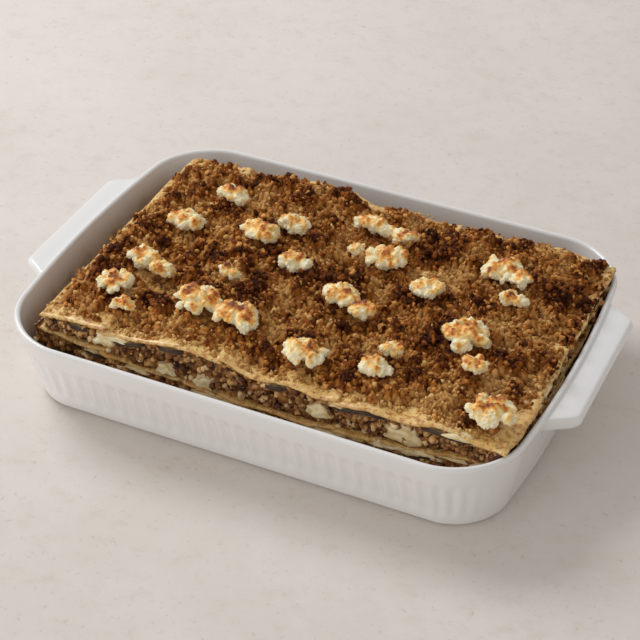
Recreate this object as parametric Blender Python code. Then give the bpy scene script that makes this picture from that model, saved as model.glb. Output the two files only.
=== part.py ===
"""A layered pasta bake with a crumbled mince top, in a fluted white ceramic baking dish.

Metres, +Z up. The origin is on the resting plane under the middle of the dish, and the long side lies along X.
"""
import math
import random

import bmesh
import bpy
from mathutils import Vector, noise

# Dish
INNER_LENGTH = 0.330
INNER_WIDTH = 0.248
DISH_HEIGHT = 0.057
LIP = 0.004
RIM_CORNER = 0.0434
END_TAPER = 0.0100
SIDE_TAPER = 0.0190
CORNER_TAPER = 0.0123
END_BOW = 0.0098
WALL = 0.0045
FLOOR = 0.0055
FLUTE_PITCH = 0.010
FLUTE_DEPTH = 0.0011
FLUTE_TOP = 0.0415
FLUTE_BOTTOM = 0.0090
FLUTE_FADE = 0.0028

# Handles
HANDLE_REACH = 0.1842
HANDLE_HALF_LENGTH = 0.064
HANDLE_MIDDLE = 0.006
HANDLE_TOP = 0.0548
HANDLE_THICKNESS = 0.0090

# Food
FOOD_LEFT = -0.141
FOOD_RIGHT = 0.1605
FOOD_FRONT = -0.1025
FOOD_BACK = 0.0990
CLEARANCE = 0.0012
GAP = 0.0004
SHEET = 0.0025
TOP_SHEET_HEIGHT = 0.0605
MIDDLE_SHEET_HEIGHT = 0.0375
MIDDLE_SHEET_RISE = 0.0090
SHEET_ENDS = (-0.1000, -0.0170, 0.0520)
SHEET_STEP = 0.0058
FILLING_STEP = 0.0088
TOP_DEPTH = 0.0062
TOP_STEP = 0.0090
CLUMP_COUNT = 60
SEED = 21

# Rise and fall of the pasta's edge along X, from the left end to the right end
EDGE_WAVE = (
    (-0.141, -0.0022), (-0.113, 0.0002), (-0.086, -0.0015), (-0.045, 0.0045), (0.008, -0.0012), (0.027, 0.0004),
    (0.050, -0.0022), (0.075, 0.0010), (0.091, -0.0008), (0.118, 0.0026), (0.148, -0.0018), (0.1605, -0.0018),
)

# Aubergine slices at the front: middle in X, width that shows, and the sheet they lie under
SLICES = (
    (-0.1140, 0.018, "top"), (-0.0800, 0.023, "top"), (-0.0515, 0.023, "top"), (0.0165, 0.020, "top"),
    (0.0680, 0.039, "top"), (0.1195, 0.033, "top"), (-0.1035, 0.017, "middle"), (0.1070, 0.024, "middle"),
)
SLICE_THICKNESS = 0.0042
SLICE_DEPTH = 0.018

# White sauce that shows at the front: middle in X and Z, width and height
CREAM = (
    (-0.0975, 0.0555, 0.013, 0.009), (-0.0560, 0.0470, 0.012, 0.007), (-0.0300, 0.0455, 0.012, 0.009),
    (0.0440, 0.0500, 0.014, 0.008), (0.0955, 0.0510, 0.019, 0.011),
)

# Lumps of cheese on top: middle in X and Y, width and depth
CHEESE = (
    (-0.088, 0.054, 0.018, 0.015), (-0.100, 0.013, 0.021, 0.016), (-0.104, -0.036, 0.018, 0.015),
    (-0.089, -0.042, 0.015, 0.012), (-0.107, -0.067, 0.019, 0.016), (-0.092, -0.085, 0.014, 0.010),
    (-0.049, 0.014, 0.022, 0.017), (-0.034, 0.032, 0.018, 0.012), (-0.017, -0.002, 0.018, 0.013),
    (-0.046, -0.033, 0.013, 0.010), (-0.051, -0.067, 0.023, 0.021), (-0.024, -0.070, 0.026, 0.021),
    (0.026, -0.082, 0.024, 0.018), (0.022, -0.021, 0.021, 0.019), (0.040, -0.028, 0.015, 0.013),
    (0.011, 0.060, 0.026, 0.012), (0.010, 0.031, 0.010, 0.010), (0.033, 0.055, 0.016, 0.011),
    (0.032, 0.029, 0.024, 0.019), (0.068, 0.008, 0.019, 0.013), (0.100, 0.048, 0.021, 0.021),
    (0.117, 0.040, 0.014, 0.012), (0.118, 0.019, 0.016, 0.011), (0.106, -0.027, 0.026, 0.024),
    (0.120, -0.053, 0.015, 0.014), (0.141, -0.084, 0.024, 0.021), (0.071, -0.058, 0.012, 0.011),
    (0.069, -0.077, 0.017, 0.012),
)
CHEESE_RISE = 0.0125

OUTER_HALF_LENGTH = INNER_LENGTH / 2 + LIP
OUTER_HALF_WIDTH = INNER_WIDTH / 2 + LIP


def clear_scene():
    for thing in list(bpy.data.objects):
        bpy.data.objects.remove(thing, do_unlink=True)


def make_material(name, colour, roughness):
    material = bpy.data.materials.new(name)
    material.use_nodes = True
    shader = material.node_tree.nodes["Principled BSDF"]
    shader.inputs["Base Color"].default_value = (*colour, 1.0)
    shader.inputs["Roughness"].default_value = roughness
    shader.inputs["Metallic"].default_value = 0.0
    return material


def make_object(name, bm, material, collection):
    bmesh.ops.recalc_face_normals(bm, faces=bm.faces)
    mesh = bpy.data.meshes.new(name)
    bm.to_mesh(mesh)
    bm.free()
    mesh.materials.append(material)
    thing = bpy.data.objects.new(name, mesh)
    collection.objects.link(thing)
    return thing


def smooth_step(value):
    value = min(1.0, max(0.0, value))
    return value * value * (3.0 - 2.0 * value)


def ripple(x, y, z, size):
    """Smooth noise between about -1 and 1, with features of the given size."""
    return noise.noise(Vector((x, y, z)) / size)


# Outlines of the dish
def dish_sizes(z, inset):
    """Half length, half width and corner radius of the dish's outline at a height."""
    share = 1.0 - min(1.0, z / DISH_HEIGHT)
    half_length = OUTER_HALF_LENGTH - END_TAPER * share - inset
    half_width = OUTER_HALF_WIDTH - SIDE_TAPER * share - inset
    return half_length, half_width, RIM_CORNER - CORNER_TAPER * share - inset


def end_bow(y, half_width):
    return END_BOW * (y / half_width) ** 2


def rim_stretches():
    half_length, half_width, corner = dish_sizes(DISH_HEIGHT, 0.0)
    short_side = 2 * (half_width - corner)
    long_side = 2 * (half_length - corner)
    arc = math.pi / 2 * corner
    return (short_side, arc, long_side, arc) * 2


def outline_point(distance, sizes):
    """Point on an outline, found by the distance run round the rim from the start of the right-hand end."""
    half_length, half_width, corner = sizes
    stretches = rim_stretches()
    index = 0
    while index < 7 and distance > stretches[index]:
        distance -= stretches[index]
        index += 1
    share = distance / stretches[index]
    quarter, is_corner = divmod(index, 2)
    reach, span = (half_length, half_width) if quarter % 2 == 0 else (half_width, half_length)
    outward = Vector((math.cos(quarter * math.pi / 2), math.sin(quarter * math.pi / 2)))
    along = Vector((-outward.y, outward.x))
    if is_corner:
        angle = (quarter + share) * math.pi / 2
        point = outward * (reach - corner) + along * (span - corner)
        point += Vector((math.cos(angle), math.sin(angle))) * corner
    else:
        point = outward * reach + along * (span - corner) * (2 * share - 1)
    point.x -= math.copysign(end_bow(point.y, half_width), point.x) * abs(point.x) / half_length
    return point


def coarse_distances():
    """Few places along the straight sides and more round the corners."""
    distances = []
    start = 0.0
    for index, stretch in enumerate(rim_stretches()):
        steps = (5, 6, 4, 6)[index % 4]
        distances += [start + stretch * step / steps for step in range(steps)]
        start += stretch
    return distances


def flute_distances():
    """Two places for each flute, one on its crest and one in its valley."""
    perimeter = sum(rim_stretches())
    count = 2 * round(perimeter / FLUTE_PITCH)
    return [perimeter * index / count for index in range(count)]


def flute_share(distance):
    """Full fluting along the two long sides, which dies away round the corners and leaves the ends plain."""
    short_side, arc, long_side, _ = rim_stretches()[:4]
    from_side = abs(distance % (short_side + arc + long_side + arc) - (short_side + arc + long_side / 2))
    return 1.0 - smooth_step((from_side - long_side / 2) / (arc * 0.75))


def dish_ring(bm, z, inset, distances, flute=0.0):
    ring = []
    for index, distance in enumerate(distances):
        carve = flute * flute_share(distance) if index % 2 else 0.0
        point = outline_point(distance, dish_sizes(z, inset + carve))
        ring.append((distance, bm.verts.new((point.x, point.y, z))))
    return ring


def bridge(bm, low, high):
    """Triangles between two closed rings whose points need not match."""
    perimeter = sum(rim_stretches())
    i = 0
    j = 0
    while i < len(low) or j < len(high):
        next_low = low[i + 1][0] if i + 1 < len(low) else perimeter + (1.0 if i >= len(low) else 0.0)
        next_high = high[j + 1][0] if j + 1 < len(high) else perimeter + (1.0 if j >= len(high) else 0.0)
        here = low[i % len(low)][1]
        there = high[j % len(high)][1]
        if next_low <= next_high:
            i += 1
            bm.faces.new((here, low[i % len(low)][1], there))
        else:
            j += 1
            bm.faces.new((here, high[j % len(high)][1], there))


def build_dish_body(material, collection):
    coarse = coarse_distances()
    fine = flute_distances()
    bm = bmesh.new()
    rings = [
        dish_ring(bm, 0.0, 0.0030, coarse),
        dish_ring(bm, 0.0030, 0.0, coarse),
        dish_ring(bm, FLUTE_BOTTOM, 0.0, fine, FLUTE_DEPTH),
        dish_ring(bm, FLUTE_TOP, 0.0, fine, FLUTE_DEPTH),
        dish_ring(bm, FLUTE_TOP + FLUTE_FADE, 0.0, fine),
        dish_ring(bm, DISH_HEIGHT - 0.0035, 0.0, coarse),
        dish_ring(bm, DISH_HEIGHT - 0.0008, LIP * 0.2, coarse),
        dish_ring(bm, DISH_HEIGHT, LIP * 0.5, coarse),
        dish_ring(bm, DISH_HEIGHT - 0.0008, LIP * 0.8, coarse),
        dish_ring(bm, DISH_HEIGHT - 0.0035, LIP, coarse),
        dish_ring(bm, FLOOR + 0.0090, WALL, coarse),
        dish_ring(bm, FLOOR + 0.0025, WALL + 0.0030, coarse),
        dish_ring(bm, FLOOR, WALL + 0.0085, coarse),
    ]
    for low, high in zip(rings, rings[1:]):
        bridge(bm, low, high)
    bm.faces.new([vert for _, vert in rings[0]])
    bm.faces.new([vert for _, vert in rings[-1]])
    return make_object("dish", bm, material, collection)


def handle_section(side, offset):
    """Rounded slab section at a distance from the handle's middle, from inside the wall to the outer edge."""
    y = HANDLE_MIDDLE + offset
    middle = HANDLE_TOP - HANDLE_THICKNESS / 2
    half = HANDLE_THICKNESS / 2
    half_length, half_width, _ = dish_sizes(middle, 0.0)
    root = half_length - end_bow(y, half_width) - WALL * 0.6
    share = math.sqrt(max(0.0, 1.0 - (abs(offset) / HANDLE_HALF_LENGTH) ** 4))
    reach = root + max(0.0012, (HANDLE_REACH - root) * share)
    round_off = min(0.0036, (reach - root) * 0.45)
    section = [
        (root, middle - half), (reach - round_off, middle - half), (reach - round_off * 0.3, middle - half * 0.65),
        (reach, middle), (reach - round_off * 0.3, middle + half * 0.65), (reach - round_off, middle + half),
        (root, middle + half),
    ]
    return [Vector((side * x, y, z)) for x, z in section]


def build_handle(name, side, material, collection):
    steps = [math.sin(math.pi / 2 * step / 6) for step in range(-6, 7)]
    sections = [handle_section(side, HANDLE_HALF_LENGTH * step) for step in steps]
    return build_loft(name, sections, material, collection)


def build_dish(material, collection, tools):
    dish = build_dish_body(material, collection)
    handles = [build_handle(f"handle_{index}", side, material, tools) for index, side in enumerate((-1, 1))]
    combine(dish, handles, "UNION")
    return dish


# Shared shapes
def close_end(bm, ring, inner, bulge):
    """Flat end, or a shallow pyramid that stands out from the neighbouring section by bulge."""
    if not bulge:
        bm.faces.new(ring)
        return
    middle = sum((vert.co for vert in ring), Vector()) / len(ring)
    outward = (middle - sum((vert.co for vert in inner), Vector()) / len(inner)).normalized()
    peak = bm.verts.new(middle + outward * bulge)
    for index, vert in enumerate(ring):
        bm.faces.new((vert, ring[(index + 1) % len(ring)], peak))


def build_loft(name, sections, material, collection, bulge=0.0):
    """Closed solid through sections that have the same number of points."""
    bm = bmesh.new()
    rings = [[bm.verts.new(point) for point in section] for section in sections]
    for first, second in zip(rings, rings[1:]):
        for index in range(len(first)):
            following = (index + 1) % len(first)
            bm.faces.new((first[index], first[following], second[following], second[index]))
    close_end(bm, rings[0], rings[1], bulge)
    close_end(bm, rings[-1], rings[-2], bulge)
    bmesh.ops.triangulate(bm, faces=bm.faces)
    return make_object(name, bm, material, collection)


def combine(thing, tools, operation, solver="EXACT"):
    """Joins tools to a solid or cuts them from it, and keeps the largest body that is left."""
    group = bpy.data.collections.new("joined")
    bpy.context.scene.collection.children.link(group)
    for tool in tools:
        for owner in list(tool.users_collection):
            owner.objects.unlink(tool)
        group.objects.link(tool)
    modifier = thing.modifiers.new("combine", "BOOLEAN")
    modifier.operation = operation
    modifier.operand_type = "COLLECTION"
    modifier.collection = group
    modifier.solver = solver
    modifier.use_self = False
    shape = thing.evaluated_get(bpy.context.evaluated_depsgraph_get())
    mesh = bpy.data.meshes.new_from_object(shape)
    thing.modifiers.clear()
    thing.data = mesh
    for tool in tools:
        bpy.data.objects.remove(tool, do_unlink=True)
    bpy.data.collections.remove(group)
    keep_largest_body(mesh)


def keep_largest_body(mesh):
    bm = bmesh.new()
    bm.from_mesh(mesh)
    bmesh.ops.triangulate(bm, faces=bm.faces)
    unseen = set(bm.verts)
    bodies = []
    while unseen:
        body = {unseen.pop()}
        edge = list(body)
        while edge:
            vert = edge.pop()
            for link in vert.link_edges:
                other = link.other_vert(vert)
                if other in unseen:
                    unseen.discard(other)
                    body.add(other)
                    edge.append(other)
        bodies.append(body)
    bodies.sort(key=len, reverse=True)
    scraps = [vert for body in bodies[1:] for vert in body]
    bmesh.ops.delete(bm, geom=scraps, context="VERTS")
    bmesh.ops.recalc_face_normals(bm, faces=bm.faces)
    bm.to_mesh(mesh)
    bm.free()


def grown_copy(thing, margin, collection, lift=0.0):
    """Copy of a solid that is larger all round by a small margin, to cut a pocket for it, and taller by lift."""
    bm = bmesh.new()
    bm.from_mesh(thing.data)
    bm.normal_update()
    shifts = [vert.normal * margin + Vector((0, 0, lift if vert.normal.z > 0.2 else 0.0)) for vert in bm.verts]
    for vert, shift in zip(bm.verts, shifts):
        vert.co += shift
    return make_object(thing.name + "_pocket", bm, thing.data.materials[0], collection)


def places_along(start, end, step):
    count = max(1, round((end - start) / step))
    return [start + (end - start) * index / count for index in range(count + 1)]


# Layers of the food
def edge_wave(x):
    """Height of the wavy edge, eased between the points of EDGE_WAVE."""
    if x <= EDGE_WAVE[0][0]:
        return EDGE_WAVE[0][1]
    for (x0, z0), (x1, z1) in zip(EDGE_WAVE, EDGE_WAVE[1:]):
        if x <= x1:
            return z0 + (z1 - z0) * smooth_step((x - x0) / (x1 - x0))
    return EDGE_WAVE[-1][1]


def sheet_bottom(level, x):
    if level == "top":
        return TOP_SHEET_HEIGHT + edge_wave(x)
    share = abs(min(0.135, max(-0.135, x)) - 0.009) / 0.130
    return MIDDLE_SHEET_HEIGHT + MIDDLE_SHEET_RISE * share ** 2 + 0.0008 * math.sin(x * 110)


def fit_in_dish(x, y, z):
    """Moves a point that would touch the dish's wall to just inside it."""
    if z > DISH_HEIGHT + CLEARANCE:
        return Vector((x, y, z))
    thickness = WALL + max(0.0, FLOOR + 0.009 - z)
    half_length, half_width, corner = dish_sizes(z, thickness + CLEARANCE)
    bow = end_bow(y, half_width)
    across = min(abs(x) + bow, half_length)
    deep = min(abs(y), half_width)
    past_x = across - (half_length - corner)
    past_y = deep - (half_width - corner)
    if past_x > 0 and past_y > 0 and math.hypot(past_x, past_y) > corner:
        shrink = corner / math.hypot(past_x, past_y)
        across = half_length - corner + past_x * shrink
        deep = half_width - corner + past_y * shrink
    return Vector((math.copysign(across - bow, x), math.copysign(deep, y), z))


def ragged(x, side, level):
    """Small in and out of a sheet's edge."""
    return 0.0015 * ripple(x, 0.3 * side, 0.11 if level == "top" else 0.47, 0.017)


def build_sheet(name, level, left, right, material, collection):
    sections = []
    for x in places_along(left, right, SHEET_STEP):
        front = FOOD_FRONT + ragged(x, -1, level)
        back = FOOD_BACK + ragged(x, 1, level)
        low = sheet_bottom(level, x)
        section = [(front, low), (back, low), (back, low + SHEET), (front, low + SHEET)]
        sections.append([fit_in_dish(x, y, z) for y, z in section])
    return build_loft(name, sections, material, collection)


def build_sheets(level, material, collection):
    ends = (FOOD_LEFT, *SHEET_ENDS, FOOD_RIGHT)
    sheets = []
    for index, (left, right) in enumerate(zip(ends, ends[1:])):
        name = f"pasta_{level}_{index + 1}"
        right_end = right - GAP if index < len(SHEET_ENDS) else right
        sheets.append(build_sheet(name, level, left, right_end, material, collection))
    return sheets


def squeeze_in_dish(x, y, z, end):
    """Draws a whole row of points in towards the middle, so that the row's end fits inside the wall and rim."""
    level = min(z, DISH_HEIGHT)
    fitted = fit_in_dish(end, y, level)
    point = fit_in_dish(x * fitted.x / end, y, level)
    return Vector((point.x, point.y, z))


def build_filling(name, left, right, bottom, top, material, collection):
    """Layer of cooked mince with bumpy sides, between two functions of X."""
    inward = 0.0030
    sections = []
    for x in places_along(left, right, FILLING_STEP):
        section = []
        for side, shares in ((-1, (0.0, 0.33, 0.67, 1.0)), (1, (1.0, 0.67, 0.33, 0.0))):
            edge = FOOD_FRONT + inward if side < 0 else FOOD_BACK - inward
            for share in shares:
                z = bottom(x) + (top(x) - bottom(x)) * share
                bump = 0.0022 * ripple(x, side, z, 0.0085)
                point = squeeze_in_dish(x, edge + side * bump, z, left if x < 0 else right)
                point.z = bottom(point.x) + (top(point.x) - bottom(point.x)) * share
                section.append(point)
        sections.append(section)
    return build_loft(name, sections, material, collection, 0.0012)


def build_slice(name, middle, width, level, material, collection):
    """Aubergine slice that lies just under a sheet, with its skin at the front face of the food."""
    half_length = width * 0.58
    centre = FOOD_FRONT + 0.0020 + SLICE_DEPTH - 0.0025
    sections = []
    for step in range(-3, 4):
        offset = half_length * math.sin(math.pi / 2 * step / 3.0) * 0.985
        reach = SLICE_DEPTH * (1.0 - (abs(offset) / half_length) ** 4) ** 0.25
        x = middle + offset
        high = sheet_bottom(level, x) - GAP - 0.0001
        low = high - SLICE_THICKNESS
        skin = min(0.0016, reach * 0.4)
        section = [
            (centre - reach, (low + high) / 2), (centre - reach + skin, high), (centre + reach - skin, high),
            (centre + reach, (low + high) / 2), (centre + reach - skin, low), (centre - reach + skin, low),
        ]
        sections.append([Vector((x, y, z)) for y, z in section])
    return build_loft(name, sections, material, collection)


def build_blob(name, centre, radii, seed, roughness, material, collection):
    """Lumpy rounded solid."""
    bm = bmesh.new()
    bmesh.ops.create_icosphere(bm, subdivisions=2, radius=1.0)
    for vert in bm.verts:
        direction = vert.co.normalized()
        wobble = ripple(direction.x + seed, direction.y, direction.z + seed * 0.37, 0.62)
        bump = 1.0 - roughness * min(1.0, max(0.0, 0.5 - wobble))
        vert.co = Vector([middle + radius * part * bump for middle, radius, part in zip(centre, radii, direction)])
    return make_object(name, bm, material, collection)


def build_cream(material, collection):
    blobs = []
    for index, (x, z, width, height) in enumerate(CREAM):
        centre = (x, FOOD_FRONT + 0.0035, z)
        radii = (width / 2, 0.0050, height / 2)
        name = f"cream_{index + 1}"
        blobs.append(build_blob(name, centre, radii, 3.1 * index + 1.7, 0.25, material, collection))
    return blobs


def top_inset(x):
    """How far the mince stops short of the front edge of the pasta."""
    return 0.0090 + 0.0055 * ripple(x, 0.0, 0.7, 0.024)


def top_limits(x):
    front = FOOD_FRONT + top_inset(x)
    back = FOOD_BACK - 0.0035 - 0.0020 * ripple(x, 1.0, 0.2, 0.019)
    return front, back


def mince_depth(x, y):
    """Depth of the crumbled mince over the top sheet, thinner towards its outline."""
    front, back = top_limits(x)
    to_edge = min(y - front, back - y, x - FOOD_LEFT - 0.003, FOOD_RIGHT - 0.005 - x)
    rounding = smooth_step(0.25 + to_edge / 0.016)
    broad = 0.0016 * ripple(x, y, 0.3, 0.034)
    clumps = 0.0021 * ripple(x, y, 0.9, 0.0125)
    return (TOP_DEPTH + broad + clumps) * rounding + 0.0006


def build_mince_core(material, collection):
    across = 22
    sections = []
    left = FOOD_LEFT + 0.0050
    right = FOOD_RIGHT - 0.0065
    for x in places_along(left, right, TOP_STEP):
        front, back = top_limits(x)
        bottom = sheet_bottom("top", x) + SHEET + GAP
        section = [Vector((x, front + 0.0010, bottom)), Vector((x, back - 0.0010, bottom))]
        for step in range(across):
            y = back + (front - back) * step / (across - 1)
            section.append(Vector((x, y, min(bottom + mince_depth(x, y), seat_limit(x, y)))))
        sections.append(section)
    return build_loft("mince_top", sections, material, collection)


def near_cheese(x, y, margin):
    for cheese_x, cheese_y, width, depth in CHEESE:
        if math.hypot((x - cheese_x) / (width / 2 + margin), (y - cheese_y) / (depth / 2 + margin)) < 1.0:
            return True
    return False


def cheese_seat(x):
    """Height of the level place that a lump of cheese rests on."""
    return sheet_bottom("top", x) + SHEET + TOP_DEPTH - 0.0004


def seat_limit(x, y):
    """Highest that the mince may rise at a place, so that it stays under the cheese near it."""
    limits = [cheese_seat(cheese_x) for cheese_x, cheese_y, width, depth in CHEESE
              if abs(x - cheese_x) < width / 2 + TOP_STEP and abs(y - cheese_y) < depth / 2 + TOP_STEP]
    return min(limits, default=1.0)


def build_clump(name, x, y, radius, generator, material, collection):
    bm = bmesh.new()
    bmesh.ops.create_icosphere(bm, subdivisions=1, radius=radius)
    base = sheet_bottom("top", x) + SHEET + mince_depth(x, y)
    turn = generator.uniform(0.0, math.tau)
    for vert in bm.verts:
        stretch = generator.uniform(0.78, 1.22)
        turned_x = vert.co.x * math.cos(turn) - vert.co.y * math.sin(turn)
        turned_y = vert.co.x * math.sin(turn) + vert.co.y * math.cos(turn)
        vert.co = Vector((x + turned_x * stretch, y + turned_y * stretch, base + vert.co.z * stretch * 0.85))
    lowest = sheet_bottom("top", x) + SHEET + GAP + 0.0008
    for vert in bm.verts:
        vert.co.z = max(vert.co.z, lowest + edge_wave(vert.co.x) - edge_wave(x))
    return make_object(name, bm, material, collection)


def build_mince_top(material, collection, tools):
    """Crumbled mince: an uneven core, level under each lump of cheese, with the largest clumps joined to it."""
    core = build_mince_core(material, collection)
    generator = random.Random(SEED)
    clumps = []
    placed = []
    while len(clumps) < CLUMP_COUNT:
        x = generator.uniform(FOOD_LEFT + 0.011, FOOD_RIGHT - 0.013)
        front, back = top_limits(x)
        y = generator.uniform(front + 0.006, back - 0.006)
        radius = generator.uniform(0.0048, 0.0078)
        crowded = any(math.hypot(x - other_x, y - other_y) < 0.0140 for other_x, other_y in placed)
        if crowded or near_cheese(x, y, radius * 1.25 + 0.0010):
            continue
        placed.append((x, y))
        clumps.append(build_clump(f"clump_{len(clumps)}", x, y, radius, generator, material, tools))
    combine(core, clumps, "UNION", "MANIFOLD")
    return core


def build_cheeses(material, collection):
    cheeses = []
    for index, (x, y, width, depth) in enumerate(CHEESE):
        rise = CHEESE_RISE * (0.65 + 0.35 * min(1.0, width / 0.022))
        centre = (x, y, cheese_seat(x) + GAP + rise * 0.35)
        radii = (width * 0.53, depth * 0.53, rise * 0.65)
        name = f"cheese_{index + 1:02d}"
        cheeses.append(build_cheese(name, centre, radii, 2.3 * index + 0.9, material, collection))
    separate_neighbours(cheeses)
    return cheeses


def build_cheese(name, centre, radii, seed, material, collection):
    """Crumbly lump of cheese with a flat underside and a knobbly top."""
    cheese = build_blob(name, centre, radii, seed, 0.42, material, collection)
    for vert in cheese.data.vertices:
        vert.co.z = max(vert.co.z, centre[2] - radii[2] * 0.35 / 0.65)
    return cheese


def separate_neighbours(cheeses):
    """Cuts a little off the smaller of two lumps that touch."""
    for index, cheese in enumerate(cheeses):
        for other in cheeses[index + 1:]:
            x, y, width, depth = CHEESE[index]
            other_x, other_y, other_width, other_depth = CHEESE[cheeses.index(other)]
            near = (width + depth + other_width + other_depth) / 4 * 1.25
            if math.hypot(x - other_x, y - other_y) > near:
                continue
            smaller, larger = (cheese, other) if width * depth < other_width * other_depth else (other, cheese)
            combine(smaller, [grown_copy(larger, 0.0004, bpy.context.scene.collection)], "DIFFERENCE")


def build_food(materials, collection, tools):
    build_sheets("middle", materials["pasta"], collection)
    build_sheets("top", materials["pasta"], collection)

    slices = {"top": [], "middle": []}
    for index, (middle, width, level) in enumerate(SLICES):
        name = f"aubergine_{index + 1}"
        slices[level].append(build_slice(name, middle, width, level, materials["aubergine"], collection))

    blobs = build_cream(materials["cream"], collection)
    for blob, (x, _, width, _) in zip(blobs, CREAM):
        close = [thing for thing, (middle, span, _) in zip(slices["top"], SLICES) if abs(x - middle) < width + span]
        if close:
            combine(blob, [grown_copy(thing, 0.0004, tools) for thing in close], "DIFFERENCE")

    lower = build_filling(
        "filling_bottom", FOOD_LEFT - 0.0045, FOOD_RIGHT - 0.0035,
        lambda x: FLOOR + 0.0006, lambda x: sheet_bottom("middle", x) - GAP, materials["filling"], collection)
    combine(lower, [grown_copy(thing, 0.0004, tools, 0.0015) for thing in slices["middle"]], "DIFFERENCE")
    middle = build_filling(
        "filling_middle", FOOD_LEFT + 0.0030, FOOD_RIGHT - 0.0035,
        lambda x: sheet_bottom("middle", x) + SHEET + GAP, lambda x: sheet_bottom("top", x) - GAP,
        materials["filling"], collection)
    combine(middle, [grown_copy(thing, 0.0005, tools) for thing in blobs], "DIFFERENCE")
    combine(middle, [grown_copy(thing, 0.0004, tools, 0.0015) for thing in slices["top"]], "DIFFERENCE")

    build_cheeses(materials["cheese"], collection)
    build_mince_top(materials["mince"], collection, tools)


def make_materials():
    return {
        "ceramic": make_material("white_glaze", (0.82, 0.80, 0.77), 0.18),
        "pasta": make_material("pasta", (0.72, 0.52, 0.26), 0.45),
        "filling": make_material("mince_filling", (0.30, 0.17, 0.09), 0.60),
        "mince": make_material("browned_mince", (0.21, 0.10, 0.045), 0.65),
        "aubergine": make_material("aubergine_skin", (0.035, 0.022, 0.022), 0.35),
        "cream": make_material("white_sauce", (0.80, 0.70, 0.52), 0.50),
        "cheese": make_material("toasted_cheese", (0.85, 0.72, 0.50), 0.55),
    }


def main():
    clear_scene()
    parts = bpy.data.collections.new("lasagne_in_a_baking_dish")
    tools = bpy.data.collections.new("cutters")
    bpy.context.scene.collection.children.link(parts)
    bpy.context.scene.collection.children.link(tools)
    materials = make_materials()
    build_dish(materials["ceramic"], parts, tools)
    build_food(materials, parts, tools)


main()
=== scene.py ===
"""A pasta bake with a browned mince top in a fluted white baking dish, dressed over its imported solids.

Metres, +Z up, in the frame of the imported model.
"""
import math
import random

import bmesh
import bpy
import numpy as np
from mathutils import Euler, Matrix, Vector, noise
from mathutils.bvhtree import BVHTree


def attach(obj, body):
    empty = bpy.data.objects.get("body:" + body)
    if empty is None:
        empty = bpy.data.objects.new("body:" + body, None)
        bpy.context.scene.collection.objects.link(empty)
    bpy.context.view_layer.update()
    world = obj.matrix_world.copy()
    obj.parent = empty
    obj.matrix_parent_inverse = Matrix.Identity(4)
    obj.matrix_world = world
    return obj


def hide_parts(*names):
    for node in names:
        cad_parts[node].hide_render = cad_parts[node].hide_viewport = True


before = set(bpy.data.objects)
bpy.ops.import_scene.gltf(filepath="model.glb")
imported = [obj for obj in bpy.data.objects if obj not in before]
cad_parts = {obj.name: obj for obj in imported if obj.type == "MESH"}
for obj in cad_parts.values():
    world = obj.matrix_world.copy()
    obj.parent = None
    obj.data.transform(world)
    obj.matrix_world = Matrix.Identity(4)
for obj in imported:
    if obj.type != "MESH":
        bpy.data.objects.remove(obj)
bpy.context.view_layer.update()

# Dish
INNER_LENGTH = 0.330
INNER_WIDTH = 0.248
DISH_HEIGHT = 0.057
LIP = 0.004
LIP_INSET = 0.0005
RIM_CORNER = 0.0434
END_TAPER = 0.0100
SIDE_TAPER = 0.0190
CORNER_TAPER = 0.0123
END_BOW = 0.0098
WALL = 0.0045
FLOOR = 0.0055
INNER_ROUNDING = 0.009
FOOT_ROUNDING = 0.0030
STAIN_REACH = 0.0170
STAIN_BELOW_RIM = 0.006
FLUTE_PITCH = 0.010
FLUTE_DEPTH = 0.0015
FLUTE_TOP = 0.0430
FLUTE_BOTTOM = 0.0070
POINTS_PER_FLUTE = 6
FLUTE_ROWS = 15
LIP_STEPS = 8
QUARTER_STEPS = 4

# Underside from its middle to the foot's edge: height, and distance in from the outline
FOOT_PROFILE = ((0.0012, 0.0130), (0.0, 0.0110), (0.0, 0.0050))

# Heights of the rows of points down the inside of the wall
INNER_HEIGHTS = (0.050, 0.044, 0.038, 0.030, 0.022, FLOOR + INNER_ROUNDING)

# Handles
HANDLE_REACH = 0.1842
HANDLE_HALF_LENGTH = 0.064
HANDLE_MIDDLE = 0.006
HANDLE_TOP = 0.0548
HANDLE_THICKNESS = 0.0090
HANDLE_ROUNDING = 0.0036
HANDLE_SHARES = (0.0, 0.12, 0.5, 1.0)

# Food
FOOD_LEFT = -0.141
FOOD_RIGHT = 0.1605
FOOD_FRONT = -0.1025
FOOD_BACK = 0.0990
CLEARANCE = 0.0012
GAP = 0.0004
SHEET = 0.0025
TOP_SHEET_HEIGHT = 0.0605
MIDDLE_SHEET_HEIGHT = 0.0375
MIDDLE_SHEET_RISE = 0.0090
SHEET_ENDS = (-0.1000, -0.0170, 0.0520)
SHEET_COUNT = len(SHEET_ENDS) + 1
SHEET_OVERLAP = 0.0045
SHEET_STEP = 0.0014
BOTTOM_FILLING_LEFT = FOOD_LEFT - 0.0045
MIDDLE_FILLING_LEFT = FOOD_LEFT + 0.0030
FILLING_RIGHT = FOOD_RIGHT - 0.0035
FILLING_STEP = 0.0010
FILLING_GRAIN = 0.0040
TOP_DEPTH = 0.0062
SEED = 21

# Edge of a sheet from its underside to its top: distance in from the edge, and share of the thickness
SHEET_SECTION = ((0.0008, 0.02), (0.0001, 0.28), (0.0, 0.70), (0.0009, 1.0))

# Rise and fall of the pasta's edge along X, from the left end to the right end
EDGE_WAVE = (
    (-0.141, -0.0022), (-0.113, 0.0002), (-0.086, -0.0015), (-0.045, 0.0045), (0.008, -0.0012),
    (0.027, 0.0004), (0.050, -0.0022), (0.075, 0.0010), (0.091, -0.0008), (0.118, 0.0026),
    (0.148, -0.0018), (0.1605, -0.0018),
)

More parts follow.
